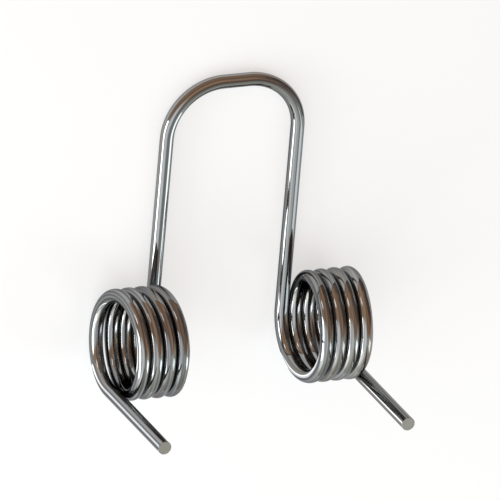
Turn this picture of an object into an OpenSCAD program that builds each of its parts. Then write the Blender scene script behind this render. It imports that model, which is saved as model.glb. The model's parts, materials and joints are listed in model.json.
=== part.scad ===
// Double torsion spring, bent from one length of round wire.
// X is the coils' common axis, Y points along the bail and Z points up.
// The spring lies on its bail and its coils, with both end legs standing up.

/* [Wire] */
// diameter of the wire
wire_d = 3; // [1.6:0.1:4]
// clear gap between neighbouring turns
turn_gap = 0.03; // [0.03:0.01:0.4]

/* [Coils] */
// inside diameter of both coils
coil_bore = 18.3; // [14:0.1:28]
// whole turns in each coil, before its last quarter turn
whole_turns = 4; // [2:1:7]

/* [Bail] */
// width of the bail between the centres of its two sides
bail_w = 30.4; // [27:0.1:44]
// reach of the bail from the coils' axis to the centre of its end bar
bail_reach = 54.8; // [40:0.1:80]
// bend radius of the bail's two corners, at the middle of the wire
corner_r = 12.25; // [6:0.25:13]

/* [End legs] */
// straight length of each end leg
leg_l = 30.5; // [8:0.5:60]

/* [Hidden] */
$fn = 48;
steel = [0.72, 0.71, 0.69];
// radius of every bend in a coil, at the middle of the wire
coil_r = (coil_bore + wire_d) / 2;
// each half turn is a flat bend, tipped just enough to clear the turn beside it
tilt = neat(asin((wire_d + turn_gap) / (2 * coil_r)) / 2);
// advance of one whole turn along the axis
pitch = 4 * coil_r * sin(tilt);
// the last half turn steps aside, so that the end leg clears its neighbour
leg_step = 0.15 * pitch * pow(pitch / coil_r, 2 / 3);
// lean of the wire where the last quarter turn starts
last_lean = sin(tilt) / 2 + leg_step / (2 * coil_r);
// turns of the bending plane at the two ends of the quarter before the last
first_twist = neat(asin(last_lean / cos(tilt)));
second_twist = neat(asin(sin(tilt) / sqrt(1 - pow(last_lean, 2))));
// half turns up to the last three quarter turns
half_turns = 2 * whole_turns - 1;
bar_half = bail_w / 2 - corner_r;
bail_side = bail_reach - corner_r;

// The nearest angle whose cosine has six decimals, so that bends meet without a step.
function neat(angle) = acos(round(cos(angle) * 1e6) / 1e6);

// A straight run along local Y. What follows starts at its end.
module run(length) {
    rotate([-90, 0, 0])
        cylinder(h = length, d = wire_d);
    translate([0, length, 0])
        children();
}

// A flat bend that starts along local Y and curves towards local -X.
module bend(radius, turn) {
    translate([-radius, 0, 0]) {
        rotate_extrude(angle = turn)
            translate([radius, 0])
                circle(d = wire_d);
        rotate([0, 0, turn])
            translate([radius, 0, 0])
                children();
    }
}

// Turns the bending plane about the wire, to the outer side of the spring.
module twist(angle) {
    rotate([0, -angle, 0])
        children();
}

// The close-wound half turns of one coil.
module winding(count) {
    bend(coil_r, 180) {
        if (count > 1) {
            twist(tilt)
                twist(tilt)
                    winding(count - 1)
                        children();
        } else {
            children();
        }
    }
}

// The last three quarter turns, which lead square off the coil into the end leg.
module run_out() {
    twist(tilt)
        twist(tilt)
            bend(coil_r, 90)
                twist(first_twist)
                    bend(coil_r, 90)
                        twist(second_twist)
                            bend(coil_r, 90)
                                run(leg_l);
}

// One half of the spring, from the middle of the end bar to the tip of the leg.
module half_spring() {
    translate([0, bail_reach, -coil_r])
        rotate([180, 0, 90])
            run(bar_half)
                bend(corner_r, 90)
                    run(bail_side)
                        twist(90)
                            twist(tilt)
                                winding(half_turns)
                                    run_out();
}

module spring_wire() {
    color(steel) {
        half_spring();
        mirror([1, 0, 0])
            half_spring();
    }
}

spring_wire();
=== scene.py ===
import json
from math import asin, atan2, cos, pi, radians, sin, sqrt, tan

import bpy
from mathutils import Matrix, Vector


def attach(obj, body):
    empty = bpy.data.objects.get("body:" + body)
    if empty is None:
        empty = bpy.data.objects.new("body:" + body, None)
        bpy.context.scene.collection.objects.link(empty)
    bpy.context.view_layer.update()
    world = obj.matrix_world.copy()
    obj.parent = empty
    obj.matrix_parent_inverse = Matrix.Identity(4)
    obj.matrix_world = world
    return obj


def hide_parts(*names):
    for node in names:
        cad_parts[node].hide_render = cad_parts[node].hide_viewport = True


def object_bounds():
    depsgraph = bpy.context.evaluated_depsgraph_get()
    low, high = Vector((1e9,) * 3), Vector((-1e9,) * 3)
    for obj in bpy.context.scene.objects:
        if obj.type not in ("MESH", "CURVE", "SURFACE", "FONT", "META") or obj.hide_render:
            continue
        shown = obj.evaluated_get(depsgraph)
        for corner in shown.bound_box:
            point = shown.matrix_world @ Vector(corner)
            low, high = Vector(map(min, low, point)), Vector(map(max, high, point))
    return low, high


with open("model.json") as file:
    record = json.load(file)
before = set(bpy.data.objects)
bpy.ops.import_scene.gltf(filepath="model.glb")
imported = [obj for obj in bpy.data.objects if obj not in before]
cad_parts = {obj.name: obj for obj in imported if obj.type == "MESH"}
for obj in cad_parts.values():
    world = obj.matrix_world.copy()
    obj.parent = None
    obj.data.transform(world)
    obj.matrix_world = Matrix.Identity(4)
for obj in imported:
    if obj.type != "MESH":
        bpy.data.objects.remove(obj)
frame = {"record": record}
cadBox = [list(corner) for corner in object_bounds()]
mounts = {mount["name"]: mount for mount in frame["record"]["mounts"]}
print("frame loaded")


class Value:
    # a node socket that takes part in plain arithmetic
    def __init__(self, graph, socket):
        self.graph = graph
        self.socket = socket

    def maths(self, operation, *others):
        return self.graph.node("ShaderNodeMath", {"operation": operation}, [self, *others])

    def __add__(self, other):
        return self.maths("ADD", other)

    def __sub__(self, other):
        return self.maths("SUBTRACT", other)

    def __rsub__(self, other):
        return self.graph.node("ShaderNodeMath", {"operation": "SUBTRACT"}, [other, self])

    def __mul__(self, other):
        return self.maths("MULTIPLY", other)

    __radd__ = __add__
    __rmul__ = __mul__

    def stretched(self, factors):
        # a vector, scaled by its own factor on each axis
        return self.graph.node("ShaderNodeVectorMath", {"operation": "MULTIPLY"}, [self, factors])

    def along(self, way):
        # how far a vector points that way
        return self.graph.node(
            "ShaderNodeVectorMath", {"operation": "DOT_PRODUCT"}, [self, way], "Value"
        )

    def ramped(self, low, high, start=0.0, end=1.0):
        # goes smoothly from start to end as the value goes from low to high
        return self.graph.node(
            "ShaderNodeMapRange",
            {"interpolation_type": "SMOOTHSTEP"},
            {"Value": self, "From Min": low, "From Max": high, "To Min": start, "To Max": end},
        )


def withAlpha(colour):
    # a written colour as a socket takes it; a linked one stays
    return (*colour, 1) if isinstance(colour, tuple) else colour


class Graph:
    # the node tree of one material or of the world
    def __init__(self, owner):
        owner.use_nodes = True
        self.tree = owner.node_tree
        self.tree.nodes.clear()

    def node(self, kind, settings=None, values=None, output=0):
        made = self.tree.nodes.new(kind)
        for name, setting in (settings or {}).items():
            setattr(made, name, setting)
        if isinstance(values, dict):
            pairs = values.items()
        else:
            pairs = enumerate(values or [])
        for name, value in pairs:
            if isinstance(value, Value):
                self.tree.links.new(value.socket, made.inputs[name])
            else:
                made.inputs[name].default_value = value
        return Value(self, made.outputs[output] if made.outputs else None)

    def blend(self, mask, first, second):
        # first colour where the mask is 0, second where it is 1
        sockets = {0: mask, 6: withAlpha(first), 7: withAlpha(second)}
        return self.node("ShaderNodeMix", {"data_type": "RGBA"}, sockets, 2)

    def glow(self, colour, strength=1.0):
        # a surface that shines by itself
        values = {"Color": withAlpha(colour), "Strength": strength}
        return self.node("ShaderNodeEmission", None, values)

    def endWith(self, surface, kind="Material"):
        # the last node, which shows the surface on the piece or the world
        self.node("ShaderNodeOutput" + kind, None, {"Surface": surface})

    def noise(self, place, detail, roughness):
        return self.node(
            "ShaderNodeTexNoise",
            None,
            {"Vector": place, "Scale": 1.0, "Detail": detail, "Roughness": roughness},
        )


springWire = {
    "radius": mounts["bail_bar"]["dims"]["r_mm"] / 1000,
    "coilBore": mounts["shaft"]["dims"]["r_mm"] / 1000,  # radius of the clear bore
    "wholeTurns": 4,
    "turnGap": 0.00003,
    "barLength": mounts["bail_bar"]["dims"]["length_mm"] / 1000,
    "bailReach": mounts["bail_bar"]["pos_m"][1],
    "cornerRadius": 0.01225,
    "legLength": mounts["leg_right"]["dims"]["length_mm"] / 1000,
    "sides": 48,
    "ringSpacing": 0.00055,
    "cutEdge": 0.00006,  # the rim of a leg's cut end
    "cutRings": (0.97, 0.75, 0.6, 0.4),  # each is this much of the one outside it
    "sharpAngle": radians(35),
}


class Bender:
    # Feeds, turns and bends the wire in edit mode, the way a bending machine does.
    def __init__(self, start, heading, side, spacing):
        self.place = Vector(start)
        self.heading = Vector(heading)
        self.side = Vector(side)  # the side that the next bend goes to
        self.mark = Vector(side)  # a line scribed along the wire
        self.spacing = spacing
        self.fed = 0.0
        self.rings = []
        self.note()

    def note(self):
        self.rings.append((self.place.copy(), self.heading.copy(), self.mark.copy(), self.fed))

    def feed(self, length):
        steps = max(1, round(length / self.spacing))
        move = self.heading * (length / steps)
        for _ in range(steps):
            bpy.ops.mesh.extrude_region_move(TRANSFORM_OT_translate={"value": move})
            self.place += move
            self.fed += length / steps
            self.note()

    def bend(self, radius, turn):
        steps = max(1, round(radius * turn / self.spacing))
        pivot = self.place + self.side * radius
        axis = self.heading.cross(self.side)
        bpy.ops.mesh.spin(steps=steps, angle=-turn, center=pivot, axis=axis)
        step = Matrix.Rotation(turn / steps, 3, axis)
        for _ in range(steps):
            self.place = pivot + step @ (self.place - pivot)
            self.heading.rotate(step)
            self.side.rotate(step)
            self.mark.rotate(step)
            self.fed += radius * turn / steps
            self.note()

    def twist(self, angle):
        self.side.rotate(Matrix.Rotation(-angle, 3, self.heading))

    def shrink(self, factor):
        bpy.ops.mesh.extrude_region_move(TRANSFORM_OT_translate={"value": (0, 0, 0)})
        bpy.ops.transform.resize(value=(factor,) * 3, center_override=self.place)
        self.note()


def bendHalf(size):
    # from the middle of the bail's end bar to the cut end of the right leg
    coilRadius = size["coilBore"] + size["radius"]
    tilt = asin((2 * size["radius"] + size["turnGap"]) / (2 * coilRadius)) / 2
    pitch = 4 * coilRadius * sin(tilt)
    legStep = 0.15 * pitch * (pitch / coilRadius) ** (2 / 3)  # so that the leg clears its neighbour
    lastLean = sin(tilt) / 2 + legStep / (2 * coilRadius)
    start = (0, size["bailReach"], -coilRadius)
    bpy.ops.object.select_all(action="DESELECT")
    bpy.ops.mesh.primitive_circle_add(
        vertices=size["sides"], radius=size["radius"], location=start, rotation=(0, pi / 2, 0)
    )
    wire = bpy.context.object
    wire.name = "bentWire"
    bpy.ops.object.transform_apply(location=True, rotation=True, scale=True)
    bpy.ops.object.mode_set(mode="EDIT")
    bpy.ops.mesh.select_all(action="SELECT")
    bender = Bender(start, (1, 0, 0), (0, -1, 0), size["ringSpacing"])
    # half of the end bar, a corner and one side of the bail
    bender.feed(size["barLength"] / 2)
    bender.bend(size["cornerRadius"], pi / 2)
    bender.feed(size["bailReach"] - size["cornerRadius"])
    # the close-wound half turns, each tipped to clear the one beside it
    bender.twist(pi / 2 + tilt)
    for _ in range(2 * size["wholeTurns"] - 1):
        bender.bend(coilRadius, pi)
        bender.twist(2 * tilt)
    # three quarter turns, which lead square off the coil
    bender.bend(coilRadius, pi / 2)
    bender.twist(asin(lastLean / cos(tilt)))
    bender.bend(coilRadius, pi / 2)
    bender.twist(asin(sin(tilt) / sqrt(1 - lastLean ** 2)))
    bender.bend(coilRadius, pi / 2)
    # the leg, with a narrow bevel round its cut end
    bender.feed(size["legLength"] - size["cutEdge"])
    bender.spacing = size["cutEdge"]
    bender.feed(size["cutEdge"])
    bpy.ops.transform.resize(
        value=(1 - size["cutEdge"] / size["radius"],) * 3, center_override=bender.place
    )
    for factor in size["cutRings"]:
        bender.shrink(factor)
    bpy.ops.mesh.merge(type="CENTER")
    bpy.ops.object.mode_set(mode="OBJECT")
    return wire, bender.rings


def markWire(wire, rings, size):
    # each point's place on the straightened wire, so that a pattern can follow the bends
    places = wire.data.attributes.new("wirePlace", "FLOAT_VECTOR", "POINT")
    for number, vertex in enumerate(wire.data.vertices):
        place, heading, mark, fed = rings[min(number // size["sides"], len(rings) - 1)]
        offset = vertex.co - place
        places.data[number].vector = (offset.dot(mark), offset.dot(heading.cross(mark)), fed)


def makeSpring(size):
    wire, rings = bendHalf(size)
    markWire(wire, rings, size)
    mirror = wire.modifiers.new("otherHalf", "MIRROR")
    mirror.merge_threshold = size["radius"] / 1000
    bpy.ops.object.modifier_apply(modifier=mirror.name)
    places = wire.data.attributes["wirePlace"].data
    for number, vertex in enumerate(wire.data.vertices):
        if vertex.co.x < 0:
            places[number].vector.z *= -1
    bpy.ops.object.mode_set(mode="EDIT")
    bpy.ops.mesh.select_all(action="SELECT")
    bpy.ops.mesh.normals_make_consistent(inside=False)
    bpy.ops.object.mode_set(mode="OBJECT")
    bpy.ops.object.shade_smooth_by_angle(angle=size["sharpAngle"])
    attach(wire, "root")
    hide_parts("spring_wire")
    return wire


spring = makeSpring(springWire)
print("spring bent:", len(spring.data.vertices), "points")


steelFinish = {
    "colour": (0.37, 0.375, 0.365),
    # dark lines along the wire: partly drawing marks, partly painted reflection streaks
    "darkLineAndReflectionColour": (0.13, 0.135, 0.145),
    "strawTintAndReflectionColour": (0.24, 0.2, 0.165),  # the faint straw tint of stress relief, partly a painted brown reflection
    "cutColour": (0.275, 0.275, 0.255),  # sheared across
    "edgeTint": (0.5, 0.5, 0.52),  # at a low angle the steel mirrors less
    # how many waves a metre each pattern has: across the wire twice, then along it
    "flatWaves": (1100, 1100, 12),
    "lineWaves": (5000, 5000, 40),
    # the lines of drawing marks and painted reflection streaks
    "streakAndReflectionWaves": (1600, 1600, 2),
    # the brown patches of straw tint and painted brown reflection
    "tintAndReflectionWaves": (500, 500, 70),
    "roughness": 0.05,
    "lineRoughness": 0.06,  # what the die lines add
    "cutRoughness": 0.4,  # what shearing adds
    "flatDepth": 0.00002,  # the die's slight flats, along the wire
    "lineDepth": 0.000002,
}


def drawnSteel(finish, size):
    material = bpy.data.materials.new("drawnSteel")
    graph = Graph(material)
    place = graph.node("ShaderNodeAttribute", {"attribute_name": "wirePlace"}, None, "Vector")
    flats = graph.noise(place.stretched(finish["flatWaves"]), 1, 0.5)
    lines = graph.noise(place.stretched(finish["lineWaves"]), 3, 0.6)
    streaksAndReflections = graph.noise(place.stretched(finish["streakAndReflectionWaves"]), 2, 0.5)
    tintAndReflection = graph.noise(place.stretched(finish["tintAndReflectionWaves"]), 2, 0.5)
    # dark and pale lines along the wire, partly drawing marks and partly painted reflection streaks
    # of the surroundings
    tone = graph.blend(streaksAndReflections.ramped(0.38, 0.64), finish["darkLineAndReflectionColour"], finish["colour"])
    # brown patches, partly a straw tint of stress relief and partly a painted brown reflection
    tone = graph.blend(tintAndReflection.ramped(0.5, 0.8, 0.0, 0.7), tone, finish["strawTintAndReflectionColour"])
    across = place.stretched((1 / size["radius"], 1 / size["radius"], 0))
    # 1 on the drawn skin, less on the cut faces
    outward = graph.node("ShaderNodeVectorMath", {"operation": "LENGTH"}, [across], "Value")
    tone = graph.blend(outward.ramped(0.9, 0.97), finish["cutColour"], tone)
    rough = lines.ramped(0.4, 0.75, 0, finish["lineRoughness"]) + finish["roughness"]
    rough = rough + outward.ramped(0.9, 0.97, finish["cutRoughness"], 0.0)
    bump = graph.node(
        "ShaderNodeBump",
        None,
        {
            "Height": flats * finish["flatDepth"] + lines * finish["lineDepth"],
            "Strength": 1.0,
            "Distance": 1.0,
        },
    )
    surface = graph.node(
        "ShaderNodeBsdfPrincipled",
        None,
        {
            "Base Color": tone,
            "Metallic": 1.0,
            "Roughness": rough,
            "Specular Tint": withAlpha(finish["edgeTint"]),
            "Normal": bump,
        },
    )
    graph.endWith(surface)
    return material


spring.data.materials.clear()
spring.data.materials.append(drawnSteel(steelFinish, springWire))
print("steel finished")


studioMiddle = (0, 0.02, 0)  # the tent, the card and the lamps stand round this

paleFloor = {
    "width": 4.0,
    "colour": (0.92, 0.955, 0.985),
    "glow": 0.6,  # share of the floor's white that needs no lamp
    "lift": 0.0002,  # what lies on the floor stays this far clear of it
}


def layFloor(size):
    bpy.ops.object.select_all(action="DESELECT")
    bpy.ops.mesh.primitive_plane_add(size=size["width"], location=(0, 0, cadBox[0][2]))
    floor = bpy.context.object
    floor.name = "paleFloor"
    bpy.ops.object.transform_apply(location=True, rotation=True, scale=True)
    material = bpy.data.materials.new("paleFloor")
    graph = Graph(material)
    # the eye and mirrors see part of the floor's white as it is, and the rest takes the shadow
    rays = [
        graph.node("ShaderNodeLightPath", None, None, f"Is {kind} Ray")
        for kind in ("Camera", "Glossy", "Transmission")
    ]
    seen = rays[0].maths("MAXIMUM", rays[1]).maths("MAXIMUM", rays[2])
    matt = graph.node("ShaderNodeBsdfDiffuse", None, {"Color": withAlpha(size["colour"])})
    white = graph.glow((1, 1, 1))
    graph.endWith(graph.node("ShaderNodeMixShader", None, [seen * size["glow"], matt, white]))
    floor.data.materials.append(material)


def stageGlow(piece, name, material):
    # a glowing piece of the studio, which the camera doesn't see
    piece.name = name
    bpy.ops.object.transform_apply(location=True, rotation=True, scale=True)
    bpy.ops.object.shade_smooth()
    piece.visible_camera = False
    piece.visible_shadow = False
    piece.data.materials.append(material)


layFloor(paleFloor)
print("floor laid")


lightTent = {
    "radius": 0.6,
    "sides": 64,
    "rings": 32,
    "colour": (0.95, 0.97, 0.89),
    "rippleWaves": (8, 8, 16),
    # each zone: the way to it, where its edge fades in, its colour and whether its edge is ragged
    "zones": {
        "greyFront": ((0.22, -0.95, 0.22), (0.82, 0.96), (0.68, 0.69, 0.62), True),
        "brownBack": ((0.12, 0.95, 0.3), (0.08, 0.36), (0.62, 0.4, 0.27), True),
        "darkSide": ((0.8, 0.58, 0.15), (0.76, 0.9), (0.2, 0.17, 0.16), True),
        "paleLeft": ((-0.82, -0.46, 0.34), (0.72, 0.97), (2.3, 2.3, 2.25), False),
        "paleTop": ((-0.6, -0.15, 0.79), (0.75, 0.97), (1.3, 1.33, 1.36), False),
    },
}


def tentCloth(size):
    # lit by its own glow, and coloured by the way in which it hangs
    material = bpy.data.materials.new("tentCloth")
    graph = Graph(material)
    where = graph.node("ShaderNodeTexCoord", None, None, "Object")
    toward = graph.node("ShaderNodeVectorMath", {"operation": "NORMALIZE"}, [where], "Vector")
    ripple = graph.noise(toward.stretched(size["rippleWaves"]), 6, 0.65) * 0.5 - 0.25
    tone = size["colour"]
    for way, edge, colour, ragged in size["zones"].values():
        nearness = toward.along(way)
        if ragged:
            nearness = nearness + ripple
        tone = graph.blend(nearness.ramped(*edge), tone, colour)
    graph.endWith(graph.glow(tone))
    return material


def raiseTent(size, cloth):
    bpy.ops.object.select_all(action="DESELECT")
    bpy.ops.mesh.primitive_uv_sphere_add(
        segments=size["sides"],
        ring_count=size["rings"],
        radius=size["radius"],
        location=studioMiddle,
    )
    stageGlow(bpy.context.object, "lightTent", cloth)


cloth = tentCloth(lightTent)
raiseTent(lightTent, cloth)
print("tent raised")


brownCard = {
    "innerRadius": 0.04,
    "outerRadius": 0.062,
    "top": 0.008,
    "span": (radians(10), radians(150)),  # round from +X towards +Y
    "sides": 96,  # of the whole circle
}


def layCard(size, cloth):
    # a low card lies close behind the spring, its outer edge turned up; only the steel sees it
    centre = Vector((*studioMiddle[:2], cadBox[0][2] + paleFloor["lift"]))
    widening = size["outerRadius"] / size["innerRadius"]
    bpy.ops.object.select_all(action="DESELECT")
    bpy.ops.mesh.primitive_circle_add(
        vertices=size["sides"], radius=size["innerRadius"], location=centre
    )
    card = bpy.context.object
    bpy.ops.object.mode_set(mode="EDIT")
    bpy.ops.mesh.select_all(action="SELECT")
    bpy.ops.mesh.extrude_region_move(TRANSFORM_OT_translate={"value": (0, 0, 0)})
    bpy.ops.transform.resize(value=(widening,) * 3, center_override=centre)
    rise = (0, 0, size["top"] - centre.z)
    bpy.ops.mesh.extrude_region_move(TRANSFORM_OT_translate={"value": rise})
    bpy.ops.mesh.select_all(action="DESELECT")
    bpy.ops.object.mode_set(mode="OBJECT")
    for face in card.data.polygons:
        turn = atan2(face.center.y, face.center.x)
        face.select = not size["span"][0] < turn < size["span"][1]
    bpy.ops.object.mode_set(mode="EDIT")
    bpy.ops.mesh.delete(type="FACE")
    bpy.ops.object.mode_set(mode="OBJECT")
    card.visible_diffuse = False
    stageGlow(card, "brownCard", cloth)


layCard(brownCard, cloth)
print("card laid")


legStrips = {
    "length": 0.03,
    "glow": 4.5,
    # under each leg: the way round from +X, and half the spread
    "ways": {
        "leg_left_end": (radians(180), radians(15)),
        "leg_right_end": (radians(195), radians(10)),
    },
}


def layStrip(size, leg):
    # a bright wedge on the floor, its point under the leg; only the steel sees it
    heading, spread = size["ways"][leg]
    point = Vector((*mounts[leg]["pos_m"][:2], cadBox[0][2] + paleFloor["lift"]))
    way = Vector((cos(heading), sin(heading), 0))
    bpy.ops.object.select_all(action="DESELECT")
    bpy.ops.mesh.primitive_circle_add(
        vertices=3,
        radius=1,
        fill_type="NGON",
        location=point + way * size["length"] * 2 / 3,
        rotation=(0, 0, heading + pi / 2),
    )
    strip = bpy.context.object
    # an even triangle, drawn out to its length and spread
    strip.scale = (tan(spread) * size["length"] * 2 / sqrt(3), size["length"] / 1.5, 1)
    strip.visible_diffuse = False
    material = bpy.data.materials.new("stripGlow")
    graph = Graph(material)
    graph.endWith(graph.glow((1, 1, 1), size["glow"]))
    stageGlow(strip, leg + "Strip", material)


for leg in legStrips["ways"]:
    layStrip(legStrips, leg)
print("strips laid")


softboxes = {
    "distance": 0.5,
    # azimuth and elevation in degrees, width, height, level and colour
    "rightSoftbox": (59, 33, 0.14, 0.28, 3.2, (0.85, 0.94, 1.0)),
    "leftSoftbox": (-76, 10, 0.5, 0.19, 7.5, (0.93, 0.98, 1.0)),
    "backSoftbox": (-137, 9, 0.1, 0.16, 2.0, (0.94, 0.97, 1.0)),
}


def direction(azimuth, elevation):
    # azimuth 0 is -Y and 90 is +X, as for the camera
    turn, rise = radians(azimuth), radians(elevation)
    return Vector((sin(turn) * cos(rise), -cos(turn) * cos(rise), sin(rise)))


def hangSoftbox(size, name):
    azimuth, elevation, width, height, level, colour = size[name]
    data = bpy.data.lights.new(name, "AREA")
    data.shape = "RECTANGLE"
    data.size = width
    data.size_y = height
    data.energy = level * pi * width * height
    data.color = colour
    lamp = bpy.data.objects.new(name, data)
    bpy.context.scene.collection.objects.link(lamp)
    toward = direction(azimuth, elevation)
    lamp.location = Vector(studioMiddle) + toward * size["distance"]
    lamp.rotation_euler = toward.to_track_quat("Z", "Y").to_euler()
    lamp.visible_camera = False


def lightWorld():
    # white beyond the floor's edge
    world = bpy.data.worlds.new("paleRoom")
    bpy.context.scene.world = world
    graph = Graph(world)
    white = {"Color": withAlpha((1, 1, 1)), "Strength": 1.0}
    graph.endWith(graph.node("ShaderNodeBackground", None, white), "World")


for name in ("rightSoftbox", "leftSoftbox", "backSoftbox"):
    hangSoftbox(softboxes, name)
lightWorld()
print("lamps hung")


picture = {
    "azimuth": 223.24,
    "elevation": 56.06,
    "roll": 136.4,
    "aim": (0.00448, 0.01654, -0.00604),
    "width": 0.10694,
    "distance": 0.5,
}


def placeCamera(size):
    data = bpy.data.cameras.new("pictureCamera")
    data.type = "ORTHO"
    data.ortho_scale = size["width"]
    data.clip_start = 0.01
    data.clip_end = 10
    camera = bpy.data.objects.new("pictureCamera", data)
    bpy.context.scene.collection.objects.link(camera)
    back = direction(size["azimuth"], size["elevation"])
    level = back.to_track_quat("Z", "Y").to_matrix()
    turned = Matrix.Rotation(radians(size["roll"]), 3, back) @ level
    place = Matrix.Translation(Vector(size["aim"]) + back * size["distance"])
    camera.matrix_world = place @ turned.to_4x4()
    bpy.context.scene.camera = camera


placeCamera(picture)
bpy.context.scene.view_settings.view_transform = "Standard"
print("camera placed")
